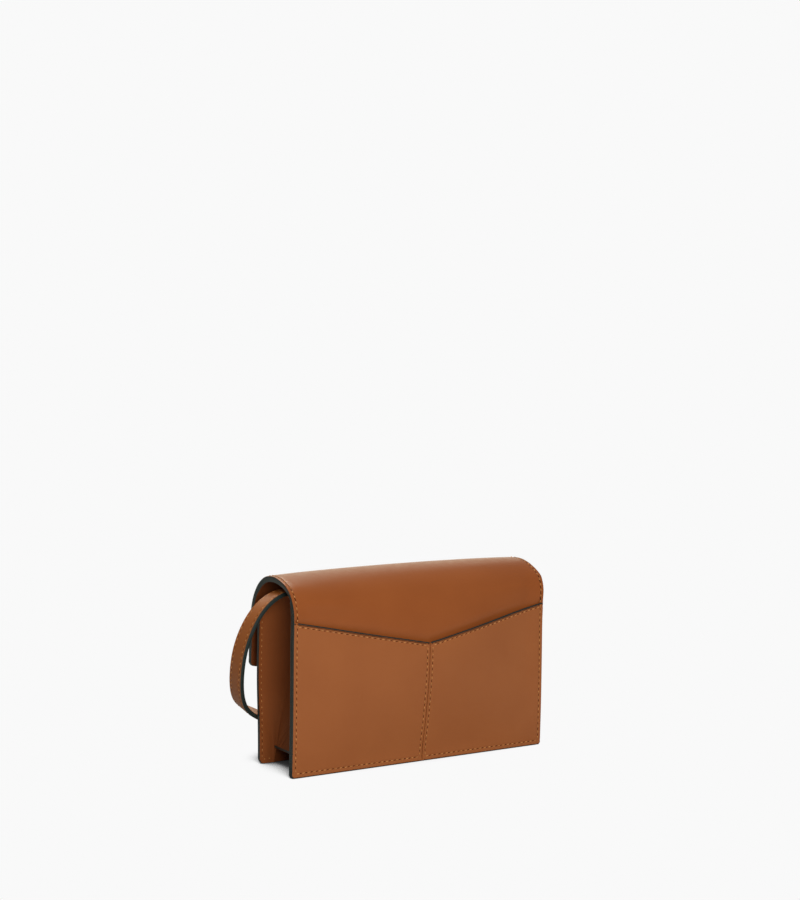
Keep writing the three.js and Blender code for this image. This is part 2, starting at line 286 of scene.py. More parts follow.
def length_at(walked, height, falling=False):
    """The length at which a section passes a height, on its way up or, past the top, down."""
    part = slice(walked["top"], None) if falling else slice(walked["top"] + 1)
    order = np.argsort(walked["height"][part])
    return np.interp(height, walked["height"][part][order], walked["length"][part][order])


shell_walk = walk(SHELL_SECTION)
front_walk = walk(FRONT_SECTION)
roll_top = shell_walk["length"][shell_walk["top"]]
front_top = front_walk["length"][-1]
print("leather from the floor over the top to the flap's end:", round(shell_walk["length"][-1], 1), "mm")

# %% [markdown]
# ## Faces of the panels
#
# A panel is its section carried across the bag. In the middle the filled bag pushes the leather out,
# and over the end gussets it can't, so the swell is faded with a smooth bell. The rolled top also
# climbs a little to the right.

# %% The panels as surfaces
GUSSET_INSET = 12.0
SWELL_REACH = HALF_WIDTH - GUSSET_INSET
SWELL_POWER = 1.5
ROLL_POWER = 0.7
POCKET_END_HEIGHT = 100.5
POCKET_POINT_HEIGHT = 81.0
FLAP_END_HEIGHT = 63.0
FLAP_POINT_HEIGHT = 44.0
FLAP_CORNER = 2.0
FRONT_CORNER = 3.0
BACK_CORNER = 1.6
ROLL_FULL_HEIGHT = 116.0
ROLL_START_HEIGHT = 104.0
ROLL_RISE = 2.4
SLOPE_STEP = 1e-4


def smooth_step(value, low, high):
    """0 below low, 1 above high, and 3s^2 - 2s^3 of the share s of the way between."""
    share = np.clip((value - low) / (high - low), 0, 1)
    return share * share * (3 - 2 * share)


def between(start, end, share):
    """The value that lies a share of the way from start to end."""
    return start + (end - start) * share


def swell_share(across, height):
    """How much of the swell shows: (1 - (across / reach)^2)^power, which is 0 over the gussets up the
    panels and reaches the ends over the rolled top."""
    over_roll = smooth_step(height, POCKET_END_HEIGHT, ROLL_FULL_HEIGHT)
    reach = between(SWELL_REACH, HALF_WIDTH, over_roll)
    power = between(SWELL_POWER, ROLL_POWER, over_roll)
    return np.clip(1 - (across / reach) ** 2, 0, None) ** power


def panel_face(walked, facing, across, length, proud=0.0):
    """The section's point after a length, moved square to it by swell x share + proud. facing is 1 where
    the section starts up the back and -1 where it starts up the front."""
    place = place_after(walked, length)
    point, after, before = (curve_through(walked["rows"], place + k * SLOPE_STEP) for k in (0, 1, -1))
    slope = after - before
    run = np.hypot(slope[..., DEPTH], slope[..., HEIGHT])
    out = (point[..., SWELL] * swell_share(across, point[..., HEIGHT]) + proud) * facing / run
    depth = point[..., DEPTH] + slope[..., HEIGHT] * out
    height = point[..., HEIGHT] - slope[..., DEPTH] * out
    return np.stack([across, depth, height], axis=-1)


def shell_face(across, length, proud=0.0):
    """The back, rolled top and flap. Above the pocket a rise is added that grows towards the right."""
    point = panel_face(shell_walk, 1, across, length, proud)
    climb = ROLL_RISE * (0.5 - across / BAG_WIDTH)
    point[..., 2] += climb * smooth_step(point[..., 2], POCKET_END_HEIGHT, ROLL_FULL_HEIGHT)
    return point


def front_face(across, length):
    """The front of the body, under the flap."""
    return panel_face(front_walk, -1, across, length)


def corner_lift(across, radius):
    """A rounded lower corner: past^2 / radius, where past is how far across goes into the corner."""
    return np.clip(np.abs(across) - (HALF_WIDTH - radius), 0, None) ** 2 / radius


def v_line(across, point_height, end_height):
    """A wide V: straight from the point at mid-width to the height at the ends."""
    return between(point_height, end_height, np.abs(across) / HALF_WIDTH)


def floor_length(across):
    """Where the back's lower edge is, as a length along the shell."""
    return length_at(shell_walk, corner_lift(across, BACK_CORNER))


def pocket_length(across):
    """Where the pocket's top edge crosses the shell."""
    return length_at(shell_walk, v_line(across, POCKET_POINT_HEIGHT, POCKET_END_HEIGHT))


def flap_length(across):
    """Where the flap ends: a wide V with rounded corners."""
    edge = v_line(across, FLAP_POINT_HEIGHT, FLAP_END_HEIGHT) + corner_lift(across, FLAP_CORNER)
    return length_at(shell_walk, edge, falling=True)


print("top of the rolled leather:", np.round(shell_face(np.zeros(1), roll_top), 1))

# %% [markdown]
# ## A sheet of leather
#
# Solidify could thicken a plane, but its rim is square. Real edges are sanded round and painted. So
# the sheet is built whole: an outer grid, an inner grid at the leather's thickness, and a rim of rings
# that run over the edge as half an ellipse. The rim's middle rings take the paint, beside a fine line
# of leather. Relief, such as a line pressed by stitches, is added along the smooth face's normals, so
# that the inside stays even.

# %% The sheet builder
RIM_RINGS = 8
BARE_RINGS = 1  # the rings beside the face that stay leather
SIDES = ("bottom", "right", "top", "left")
FACE_LOOK, INSIDE_LOOK, PAINT_LOOK = range(3)
FINE_BAND, FINE_STEP, COARSE_STEP = 7.0, 0.65, 2.2


def unit(vectors):
    """Vectors brought to length 1."""
    return vectors / np.linalg.norm(vectors, axis=-1, keepdims=True)


def add_object(name, data):
    """An object that holds a mesh, a lamp or a camera, at the origin of the scene."""
    placed = bpy.data.objects.new(name, data)
    bpy.context.scene.collection.objects.link(placed)
    return placed


def make_mesh(name, points, faces, looks, materials):
    """A smooth object from points in the bag's millimetres, with a material number for each face."""
    mesh = bpy.data.meshes.new(name)
    mesh.from_pydata((np.asarray(points) * MM + bag_origin).tolist(), [], faces)
    for material in materials:
        mesh.materials.append(material)
    mesh.polygons.foreach_set("material_index", np.asarray(looks, np.int32))
    mesh.shade_smooth()
    return add_object(name, mesh)


def grid_faces(numbers):
    """The quads of a grid of point numbers, turned to face along columns x rows."""
    corners = numbers[:-1, :-1], numbers[:-1, 1:], numbers[1:, 1:], numbers[1:, :-1]
    return np.stack(corners, axis=-1).reshape(-1, 4)


def rim_order(numbers):
    """The point numbers round a grid's edge, counter-clockwise from outside, and the side each is on."""
    runs = numbers[0, :-1], numbers[:-1, -1], numbers[-1, :0:-1], numbers[:0:-1, 0]
    return np.concatenate(runs), np.repeat(np.arange(len(SIDES)), [len(run) for run in runs])


def leather_sheet(name, face, thickness, dome, painted, materials, relief=0.0, bare=False, trim=False):
    """A closed sheet: outer = face + normal x relief, inner = face - normal x thickness, and between
    them a rim on half an ellipse, as deep as the sheet and standing out by dome, one for all sides or
    one for each. The edge is first drawn in by dome, so the sheet ends where the face does. materials
    are the face's, the inside's and the paint's. bare marks points whose rim gets no paint, and trim
    cells of the face that do."""
    shape = face.shape[:2]
    numbers = np.arange(shape[0] * shape[1]).reshape(shape)
    normal = unit(np.cross(np.gradient(face, axis=1), np.gradient(face, axis=0)))
    outer = (face + normal * np.broadcast_to(relief, shape)[..., None]).reshape(-1, 3)
    inner = (face - normal * np.broadcast_to(thickness, shape)[..., None]).reshape(-1, 3)
    rim, side = rim_order(numbers)
    edge = face.reshape(-1, 3)[rim]
    out = unit(np.cross(np.roll(edge, -1, axis=0) - np.roll(edge, 1, axis=0), normal.reshape(-1, 3)[rim]))
    out *= np.broadcast_to(dome, len(SIDES))[side][:, None]
    outer[rim] -= out
    inner[rim] -= out
    angle = (np.pi * np.arange(1, RIM_RINGS) / RIM_RINGS)[:, None, None]
    middle = (outer[rim] + inner[rim]) / 2
    half = (outer[rim] - inner[rim]) / 2
    rings = middle + np.cos(angle) * half + np.sin(angle) * out

    ring_numbers = 2 * numbers.size + np.arange(rings[..., 0].size).reshape(rings.shape[:2])
    ring_numbers = np.vstack([rim, ring_numbers, rim + numbers.size])
    closed = np.hstack([ring_numbers, ring_numbers[:, :1]])
    face_quads = grid_faces(numbers)
    faces = np.vstack([face_quads, face_quads[:, ::-1] + numbers.size, grid_faces(closed)[:, [0, 3, 2, 1]]])
    is_painted = np.isin(side, [SIDES.index(word) for word in painted])
    is_painted &= ~np.broadcast_to(bare, shape).ravel()[rim]
    rim_look = np.where(is_painted, PAINT_LOOK, FACE_LOOK)[None, :].repeat(RIM_RINGS, axis=0)
    rim_look[:BARE_RINGS] = FACE_LOOK
    rim_look[-1] = INSIDE_LOOK
    trim = np.broadcast_to(trim, (shape[0] - 1, shape[1] - 1)).ravel()
    face_look = np.where(trim, PAINT_LOOK, FACE_LOOK)
    looks = np.concatenate([face_look, np.full(trim.size, INSIDE_LOOK), rim_look.ravel()])
    points = np.vstack([outer, inner, rings.reshape(-1, 3)])
    print(name, "sheet:", shape[0], "x", shape[1], "points,", len(faces), "faces")
    return make_mesh(name, points, faces.tolist(), looks, materials)


def stands_for(piece, node):
    """The piece rides on the bag and hides the plain solid."""
    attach(piece, "root")
    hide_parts(node)


def spread(low, high, band=FINE_BAND, fine=FINE_STEP, coarse=COARSE_STEP):
    """Positions from low to high, a column for each: fine steps in a band at both ends, coarse between."""
    low, high = np.atleast_1d(low), np.atleast_1d(high)
    near = np.arange(0, band, fine)[:, None]
    steps = int(np.max(high - low - 2 * band) / coarse)
    even = between(low + band, high - band, np.linspace(0, 1, steps + 1)[:, None])
    return np.vstack([low + near, even, high - near[::-1]])


def panel_grid(columns, low, high):
    """Across and length at each point of a panel that runs from one length to another in each column."""
    lengths = spread(low, high)
    return np.broadcast_to(columns, lengths.shape), lengths


# %% [markdown]
# ## Shell: back, rolled top and flap
#
# One piece of leather runs from the floor at the back, over the top and down to the flap's point. It
# is a single layer up the back and gets a lining over the roll, which doubles its edge. Behind the
# pocket's mouth the leather sinks in a little, as it does when a hand has been in the pocket. At the
# mouth's ends a strip is built up flush with the pocket, and the stitch rows are pressed into the
# leather.

# %% Make the shell
PANEL_THICKNESS = 1.4
FLAP_THICKNESS = 4.0
EDGE_DOME = 0.4
SIDE_ROW = 2.6  # stitch rows, in from the edges
BOTTOM_ROW = 3.1
POCKET_ROW = 2.4
FLAP_ROW = 3.3
PRESS_DEPTH, PRESS_WIDTH = 0.22, 0.8
MOUTH_SINK, MOUTH_SINK_GAIN = 1.9, 0.3  # in the middle, and how much more at the right end
MOUTH_FADE, MOUTH_FADE_GAIN = 6.0, 2.5  # how high the sink reaches, likewise
MOUTH_POWER = 6
STRIP_RISE = 1.6
STRIP_BULGE = 0.9  # how much more the strip rises at the right end, above the mouth
STRIP_BULGE_REACH = (0.0, 8.0)
STRIP_FADE_LEFT, STRIP_FADE_RIGHT = (4.0, 14.0), (6.0, 28.0)
STRIP_REACH = (HALF_WIDTH - 14, HALF_WIDTH - 1)
STRIP_START = 1.5
STRIP_CORNER = (HALF_WIDTH - 1.6, HALF_WIDTH - 0.8)  # past these the strip laps over the pocket's corner
STRIP_LAP = 2.4

side_place = HALF_WIDTH - SIDE_ROW


def pressed(*distances):
    """The lines that stitches press into leather: a bell across each, -depth x exp(-(distance /
    width)^2), and the deepest where they cross."""
    return np.min([-PRESS_DEPTH * np.exp(-(distance / PRESS_WIDTH) ** 2) for distance in distances], axis=0)


def shell_thickness(length):
    """One layer up the back and two over the roll and flap, with a smooth step in the height between."""
    height = np.interp(length, shell_walk["length"], shell_walk["height"])
    doubled = np.where(length > roll_top, 1.0, smooth_step(height, ROLL_START_HEIGHT, ROLL_FULL_HEIGHT))
    return between(PANEL_THICKNESS, FLAP_THICKNESS, doubled)


def strip_rise(across, length):
    """Towards the ends the leather is built up flush with the pocket, and higher up this fades out."""
    above = length - pocket_length(across)
    strip = smooth_step(np.abs(across), *STRIP_REACH)
    lap = STRIP_LAP * smooth_step(np.abs(across), *STRIP_CORNER)
    left = STRIP_RISE * (1 - smooth_step(above, *STRIP_FADE_LEFT))
    right = STRIP_RISE + STRIP_BULGE * smooth_step(above, *STRIP_BULGE_REACH)
    right = right * (1 - smooth_step(above, *STRIP_FADE_RIGHT))
    return np.where(across > 0, left, right) * strip * smooth_step(above + lap, 0, STRIP_START)


def mouth_sink(across, length):
    """The sink behind the pocket's mouth: full below it, (1 - above / fade)^2 of it above, and faded by
    1 - (across / half width)^6 to none at the ends."""
    share = across / HALF_WIDTH
    above = np.clip(length - pocket_length(across), 0, None)
    fade = MOUTH_FADE - MOUTH_FADE_GAIN * share
    depth = MOUTH_SINK - MOUTH_SINK_GAIN * share
    return depth * (1 - share ** MOUTH_POWER) * np.clip(1 - above / fade, 0, 1) ** 2


def shell_relief(across, length):
    """Pressed side rows and flap row, the strips at the ends, and the sink behind the pocket's mouth."""
    rows = pressed(np.abs(across) - side_place, flap_length(across) - length - FLAP_ROW)
    return rows - mouth_sink(across, length) + strip_rise(across, length)


bag_columns = spread(-HALF_WIDTH, HALF_WIDTH).ravel()
shell_columns = bag_columns[::-1]
shell_grid = panel_grid(shell_columns, floor_length(shell_columns), flap_length(shell_columns))
shell = leather_sheet(
    "shell_leather", shell_face(*shell_grid), shell_thickness(shell_grid[1]) + mouth_sink(*shell_grid),
    EDGE_DOME, SIDES, (tan_leather, lining_leather, paint), shell_relief(*shell_grid),
)
stands_for(shell, "shell")

# %% [markdown]
# ## Slip pocket
#
# Two halves lie on the back and meet at a butt seam in the middle, sewn down on both sides of it.
# Their top edges make the V that marks this bag. The sides, bottom and top are painted, and the seam's
# edges are turned leather.

# %% Make the pocket halves
POCKET_THICKNESS = 1.4
LAYER_GAP = 0.3
SEWN_IN = 0.4  # a sewn sheet is this much thicker: it fills the gap and presses into the next a little
SEAM_ROW = 2.1  # stitch rows beside the centre seam
STRIP_BARE = 3.6  # the mouth's paint ends this far from the left end
# wider dark paint at the mouth: partly its real painted edge, partly painted shade of the gap behind it
POCKET_DOMES = (0.7, 0.5, 1.4, 0.5)  # bottom, right, top and left; the mouth's rim is rounded more


def pocket_face(across, length):
    """The pocket's face, one gap and one layer outside the shell."""
    return shell_face(across, length, LAYER_GAP + POCKET_THICKNESS)


def pocket_half(name, columns, painted):
    """One half of the pocket, its columns from left to right, with rows pressed along all its edges."""
    across, length = panel_grid(columns, floor_length(columns), pocket_length(columns))
    relief = pressed(
        np.abs(across) - side_place, length - BOTTOM_ROW, pocket_length(across) - length - POCKET_ROW,
        np.abs(across) - SEAM_ROW,
    )
    at_strip = (across > HALF_WIDTH - STRIP_BARE) & (across < HALF_WIDTH) & (length > length[-2])
    return leather_sheet(
        name, pocket_face(across, length), POCKET_THICKNESS + SEWN_IN, POCKET_DOMES, painted,
        (pocket_leather, pocket_leather, paint), relief, at_strip,
    )


pocket_columns = spread(LAYER_GAP / 2, HALF_WIDTH).ravel()
pocket_left = pocket_half("pocket_leather_left", pocket_columns[::-1], ("bottom", "top", "left"))
pocket_right = pocket_half("pocket_leather_right", -pocket_columns, ("bottom", "top", "right"))
stands_for(pocket_left, "pocket_panel_left")
stands_for(pocket_right, "pocket_panel_right")

# %% [markdown]
# ## Front panel
#
# The front of the body is hidden by the flap, apart from its lower part. It is a plain lined panel,
# sewn round its sides and bottom, with a row along its top edge.

# %% Make the front panel
TOP_ROW = 2.6

front_edge = length_at(front_walk, corner_lift(bag_columns, FRONT_CORNER))
front_across, front_lengths = panel_grid(bag_columns, front_edge, np.full(bag_columns.shape, front_top))
front_relief = pressed(
    np.abs(front_across) - side_place, front_lengths - BOTTOM_ROW, front_top - front_lengths - TOP_ROW)
front = leather_sheet(
    "front_leather", front_face(front_across, front_lengths), PANEL_THICKNESS, EDGE_DOME, SIDES,
    (tan_leather, lining_leather, paint), front_relief,
)
stands_for(front, "front_panel")

# %% [markdown]
# ## Gussets
#
# The ends and the bottom are channels: a flange sewn to the back, a fold, the web, another fold, and a
# flange sewn to the front. The fold is crisp at the floor and soft higher up, where the web also bows
# inwards so that the bag can open. A channel could be bent from a flat plane with modifiers, but
# written as five stretches of one profile it follows the panels exactly. A few creases fan up from the
# lower fold, where the leather has been squeezed.

# %% The channel's profile
GUSSET_THICKNESS = 1.1
FOLD_RADIUS_BOTTOM, FOLD_RADIUS_TOP = 1.2, 11.0
BASE_FOLD_RADIUS = 4.0
FOLD_DEPTH = 3.0
FOOT_OUT = 1.5  # the web's foot stands this far out
WEB_HEIGHT = 10.0
ROUND_HEIGHT = 40.0  # the folds are fully round from here up
SOFT_HEIGHT = 60.0  # and the web fully bowed from here up
GUSSET_TOP_FRONT, GUSSET_TOP_MIDDLE, GUSSET_TOP_BACK = 106.0, 114.6, 109.0
GUSSET_TOP_DEPTH = -5.0
GUSSET_ROW = 2.1
GUSSET_STEPS = (0.06, 0.006, 0.014)  # end band, fine and coarse steps, as shares of the height
STRETCH_CELLS = np.array([2, 3, 6, 3, 2])
STRETCH_ENDS = np.concatenate([[0], np.cumsum(STRETCH_CELLS)])
WEB_START, WEB_END = STRETCH_ENDS[2], STRETCH_ENDS[3]
FINER = 9  # points here for each cell of the profile

channel_columns = np.linspace(0, STRETCH_ENDS[-1], STRETCH_ENDS[-1] * FINER + 1)


def depth_after(walked, length):
    """The section's depth after a length along it."""
    return curve_through(walked["rows"], place_after(walked, length))[..., DEPTH]


def flange_depths(height):
    """The depths of the two flange faces that look into the channel, at a height."""
    back_length = length_at(shell_walk, height)
    front_depth = depth_after(front_walk, length_at(front_walk, height)) + PANEL_THICKNESS
    back_depth = depth_after(shell_walk, back_length) - shell_thickness(back_length)
    return front_depth + LAYER_GAP + GUSSET_THICKNESS, back_depth - LAYER_GAP - GUSSET_THICKNESS


def channel(column, front_depth, back_depth, flange, radius):
    """The profile at a column of its cells, as distance out from the web and depth: straight flange,
    quarter circle, straight web, quarter circle, straight flange."""
    stretch = np.clip(np.searchsorted(STRETCH_ENDS, column, side="right") - 1, 0, len(STRETCH_CELLS) - 1)
    share = (column - STRETCH_ENDS[stretch]) / STRETCH_CELLS[stretch]
    turn = share * np.pi / 2
    outs = [
        between(flange, radius, share), radius - radius * np.sin(turn), 0 * radius,
        radius - radius * np.cos(turn), between(radius, flange, share),
    ]
    web = between(front_depth + radius, back_depth - radius, share)
    depths = [
        front_depth, front_depth + radius - radius * np.cos(turn), web,
        back_depth - radius + radius * np.sin(turn), back_depth,
    ]
    chosen = [stretch == number for number in range(len(STRETCH_CELLS))]
    return np.select(chosen, outs), np.select(chosen, depths)


print("channel at the floor, depths:", np.round(flange_depths(0.0), 1))

# %% Make the end gussets
CREASE_DEPTH = 1.6
CREASE_WIDTH = 1.1
CREASE_FADE = 16.0
CREASES = ((-17.5, 0.2), (-17.0, 0.8), (-13.5, 0.9), (15.0, -0.5))  # depth at the web's lower edge and lean
EDGE_TRIM = 1.7  # how far the paint laps over the web's lower edge
FOLD_CELLS = 1.1  # cells of each fold, beside the web, whose lower edge stays unpainted


def gusset_creases(depth, height):
    """Soft creases on the web: each a bell across a line that leans as it climbs, fading with height."""
    climb = height - WEB_HEIGHT
    bells = [np.exp(-((depth - start - lean * climb) / CREASE_WIDTH) ** 2) for start, lean in CREASES]
    fade = smooth_step(climb, EDGE_TRIM, 2 * EDGE_TRIM) * np.exp(-np.clip(climb, 0, None) / CREASE_FADE)
    return -CREASE_DEPTH * np.max(bells, axis=0) * fade


def end_gusset(name, end):
    """An end gusset as a surface of the profile's column and the share of the way up. Its top edge
    is a parabola, and its lower edge follows the flanges' corners and steps up to the web."""
    column, up = np.meshgrid(channel_columns, spread(0.0, 1.0, *GUSSET_STEPS).ravel())
    top_front, top_back = flange_depths(GUSSET_TOP_FRONT)
    _, depth = channel(column, top_front, top_back, GUSSET_INSET, FOLD_RADIUS_TOP)
    in_front = depth < GUSSET_TOP_DEPTH
    fall = (depth - GUSSET_TOP_DEPTH) / (np.where(in_front, top_front, top_back) - GUSSET_TOP_DEPTH)
    drop = np.where(in_front, GUSSET_TOP_FRONT, GUSSET_TOP_BACK) - GUSSET_TOP_MIDDLE
    top = GUSSET_TOP_MIDDLE + drop * fall ** 2
    into_web = np.clip(np.minimum(column - WEB_START, WEB_END - column) + 1, 0, 1)
    low_out, _ = channel(column, top_front, top_back, GUSSET_INSET, FOLD_RADIUS_BOTTOM)
    low_out = FOOT_OUT + low_out * (1 - FOOT_OUT / GUSSET_INSET)
    corner = np.where(column < WEB_START, FRONT_CORNER, BACK_CORNER)
    low = np.maximum(WEB_HEIGHT * into_web, corner_lift(SWELL_REACH + low_out, corner))
    height = between(low, top, up)

    front_depth, back_depth = flange_depths(np.minimum(height, GUSSET_TOP_BACK))
    softness = smooth_step(height, WEB_HEIGHT, SOFT_HEIGHT)
    roundness = smooth_step(height, WEB_HEIGHT, ROUND_HEIGHT)
    radius = between(FOLD_RADIUS_BOTTOM, FOLD_RADIUS_TOP, roundness)
    out, depth = channel(column, front_depth, back_depth, GUSSET_INSET, radius)
    foot = FOOT_OUT * (1 - softness)
    out = foot + out * (1 - foot / GUSSET_INSET)
    bow = np.sin(np.pi * (depth - front_depth) / (back_depth - front_depth)) ** 2
    across = end * (SWELL_REACH + out - FOLD_DEPTH * bow * softness)
    flange_row = pressed(out - (GUSSET_INSET - GUSSET_ROW))
    face = np.stack([across, depth, height], axis=-1)
    relief = np.where(into_web > 0, gusset_creases(depth, height), flange_row)
    on_fold = (into_web < 1) & (column > WEB_START - FOLD_CELLS) & (column < WEB_END + FOLD_CELLS)
    trim = ((height - low < EDGE_TRIM) & (into_web == 1))[:-1, :-1]
    if end < 0:
        face, relief, on_fold, trim = (grid[:, ::-1] for grid in (face, relief, on_fold, trim))
    return leather_sheet(
        name, face, GUSSET_THICKNESS + SEWN_IN, EDGE_DOME, SIDES, (gusset_leather_shaded, lining_leather, paint),
        relief, on_fold, trim,
    )


stands_for(end_gusset("end_gusset_leather_left", 1), "side_gusset_left")
stands_for(end_gusset("end_gusset_leather_right", -1), "side_gusset_right")

# %% Make the bottom gusset
BASE_ROWS = 90
BASE_TUCK = 0.6  # its ends are tucked this far into the end gussets

# The same channel, open to the floor and carried from one end gusset to the other.
base_reach = SWELL_REACH + FOOT_OUT - BASE_TUCK
base_column, base_across = np.meshgrid(channel_columns, np.linspace(-base_reach, base_reach, BASE_ROWS))
base_out, base_depth = channel(base_column, *flange_depths(0.0), WEB_HEIGHT, BASE_FOLD_RADIUS)
# Its faces take the dark lining leather: painted shade, for the deep shade under the bag.
bottom = leather_sheet(
    "bottom_gusset_leather", np.stack([base_across, base_depth, WEB_HEIGHT - base_out], axis=-1),
    GUSSET_THICKNESS + SEWN_IN, EDGE_DOME, ("left", "right"), (lining_leather, lining_leather, paint),
)
stands_for(bottom, "bottom_gusset")

# %% [markdown]
# ## Strap
#
# The strap is sewn inside the left end gusset, comes out under the flap, swings round and lies on the
# floor in front of the bag on its way to the other end. A path object with a bevel would twist freely,
# so the strap's width is given here at each point: level, apart from a tilt that lifts its front edge
# and a turn that swings it outwards. The path is eased a little, because leather this thick takes no
# sharp bends.

# %% Make the strap
STRAP_WIDTH = 14.0
STRAP_THICKNESS = 3.0
STRAP_DOME = 0.45
STRAP_ROW = 2.1
STRAP_BAND = 4.0  # the width of the finer steps along each edge
STRAP_STEPS = 620
STRAP_EASE = 8.0  # how far each point is averaged with its neighbours
BELL_REACH = 3
STRAP_LIFT = 0.45  # the strap lies on its stitches, not on its leather
RIGHT_REACH_SHARE = 0.75  # the right loop swings out less
STRAP_RUN = np.array([  # across, depth, height, tilt and turn in degrees
    (81.8, -5, 90, 0, 0), (81.8, -5, 105, 0, 0), (82, -5, 113.4, 0, 0), (85, -5, 117.2, 0, 0),
    (91, -5, 117.4, -4, 0), (99.5, -5, 114.4, -4, 0), (108.6, -5.2, 108.2, -2, 0),
    (114.8, -6.8, 98.6, 2, 1), (120.2, -10.5, 81.5, 6, 3), (120.4, -14.8, 66, 9, 4),
    (116.4, -22, 47.6, 9, 4), (107, -30.4, 35.6, 12, 2), (91.5, -36.3, 28.8, 20, 0),
    (76, -39, 19.4, 14, 0), (60, -40.5, 9.6, 8, 0), (44, -41, 2.6, 0, 0), (24, -41, 1, 0, 0),
])


def eased(values, steps):
    """Averages each value with its neighbours under a bell of this many steps. The ends stay put."""
    reach = np.arange(-BELL_REACH * steps, BELL_REACH * steps + 1)
    bell = np.exp(-0.5 * (reach / steps) ** 2)
    padded = np.pad(values, ((len(bell) // 2,) * 2, (0, 0)), mode="reflect", reflect_type="odd")
    smooth = [np.convolve(column, bell / bell.sum(), mode="valid") for column in padded.T]
    return np.stack(smooth, axis=1)


def strap_lines():
    """The strap's middle line at even steps, and there the ways across its width and out of its face."""
    right = STRAP_RUN[::-1].copy()
    right[:, 0] -= np.clip(right[:, 0] - HALF_WIDTH, 0, None) * (1 - RIGHT_REACH_SHARE)
    right[:, [0, 4]] *= -1
    run = np.vstack([STRAP_RUN, right])
    place = np.linspace(0, 1, WALK_STEPS)
    points = curve_through(run[:, :3], place)
    row = place * (len(run) - 1)
    tilt, turn = (np.radians(np.interp(row, np.arange(len(run)), angles)) for angles in run[:, 3:].T)
    length = run_lengths(points)
    even = np.linspace(0, length[-1], STRAP_STEPS)
    line = np.stack([np.interp(even, length, values) for values in (*points.T, tilt, turn)], axis=1)
    line = eased(line, round(STRAP_EASE * STRAP_STEPS / length[-1]))
    middle, tilt, turn = line[:, :3], line[:, 3], line[:, 4]
    middle[:, 2] = np.maximum(middle[:, 2], STRAP_THICKNESS / 2 + STRAP_LIFT)
    tangent = unit(np.gradient(middle, axis=0))
    level = np.stack([np.sin(turn) * np.cos(tilt), -np.cos(turn) * np.cos(tilt), np.sin(tilt)], axis=1)
    width = unit(level - tangent * np.sum(level * tangent, axis=1, keepdims=True))
    print("strap length:", round(length[-1]), "mm")
    return middle, width, np.cross(width, tangent)


strap_middle, strap_width, strap_out = strap_lines()
strap_offsets = spread(-STRAP_WIDTH / 2, STRAP_WIDTH / 2, STRAP_BAND).ravel()


def strap_face(offset, out):
    """The line at an offset across the strap's width, moved out from its middle plane."""
    return strap_middle + strap_width * offset + strap_out * out


strap_grid = np.stack([strap_face(offset, STRAP_THICKNESS / 2) for offset in strap_offsets], axis=1)
strap = leather_sheet(
    "strap_leather", strap_grid, STRAP_THICKNESS, STRAP_DOME, SIDES, (strap_leather, strap_leather, paint),
    pressed(np.abs(strap_offsets) - (STRAP_WIDTH / 2 - STRAP_ROW)),
)
stands_for(strap, "strap")

# %% [markdown]
# ## Hidden snap
#
# A magnetic snap under the flap keeps it shut. It is turned steel with a satin skin, so a profile of
# radius and depth is carried round its axis: two flanged halves that meet in a fine line.

# %% Make the snap
SNAP_TURNS = 48
SNAP_BRUSH = 0.35 * MM
SNAP_PROFILE = np.array([  # share of the radius, and share of the depth from the front panel to the flap
    (0.55, 0.0), (0.9, 0.02), (0.98, 0.08), (1.0, 0.18), (1.0, 0.4), (0.96, 0.46), (0.9, 0.48),
    (0.9, 0.52), (0.96, 0.54), (1.0, 0.6), (1.0, 0.82), (0.98, 0.92), (0.9, 0.98), (0.55, 1.0),
])


def brushed_steel():
    """Satin steel, turned on a lathe: fine marks of slightly different roughness."""
    material, tree, where = start_material("satin_turned_steel")
    marks = add_node(tree, "TexNoise", {"Vector": where, "Scale": 1 / SNAP_BRUSH, "Detail": 2.0})
    gloss = add_node(tree, "MapRange", {"Value": marks.outputs["Fac"], "To Min": 0.24, "To Max": 0.4})
    close_material(tree, {"Base Color": linear("#A9A6A0"), "Metallic": 1.0, "Roughness": gloss.outputs[0]})
    return material


snap_low, snap_high = (np.array(corner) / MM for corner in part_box("magnetic_snap"))
snap_middle = (snap_low + snap_high) / 2 - bag_origin / MM
snap_radius = (snap_high[0] - snap_low[0]) / 2
snap_depth = snap_high[1] - snap_low[1]
turn = np.linspace(0, 2 * np.pi, SNAP_TURNS, endpoint=False)
ring_radius = snap_radius * SNAP_PROFILE[:, :1]
ring_depth = snap_depth * (0.5 - SNAP_PROFILE[:, 1:])
snap_points = snap_middle + np.stack(
    [ring_radius * np.cos(turn), ring_depth + 0 * turn, ring_radius * np.sin(turn)], axis=-1)
ring_numbers = np.arange(snap_points[..., 0].size).reshape(snap_points.shape[:2])
snap_faces = grid_faces(np.hstack([ring_numbers, ring_numbers[:, :1]])[::-1]).tolist()
snap_faces += [ring_numbers[0, ::-1].tolist(), ring_numbers[-1].tolist()]
snap_looks = np.zeros(len(snap_faces))
snap = make_mesh("snap_discs", snap_points.reshape(-1, 3), snap_faces, snap_looks, (brushed_steel(),))
stands_for(snap, "magnetic_snap")
print("snap: radius", round(snap_radius, 1), "mm, depth", round(snap_depth, 1), "mm")

# %% [markdown]
# ## Stitches
#
# A stitch is a short arch of thread whose ends sink into two slits. Stitches could be painted on with
# a texture, but then they would have no height and no shadow. So each row is a line of points on a
# face with the face's normals, and a small arched tube is set along it at every pitch, all rows of a
# piece in one mesh. The slits are flat dark lenses that lie in the pressed line between the stitches;
# their dark colour is painted shade, for the shade inside each needle hole.

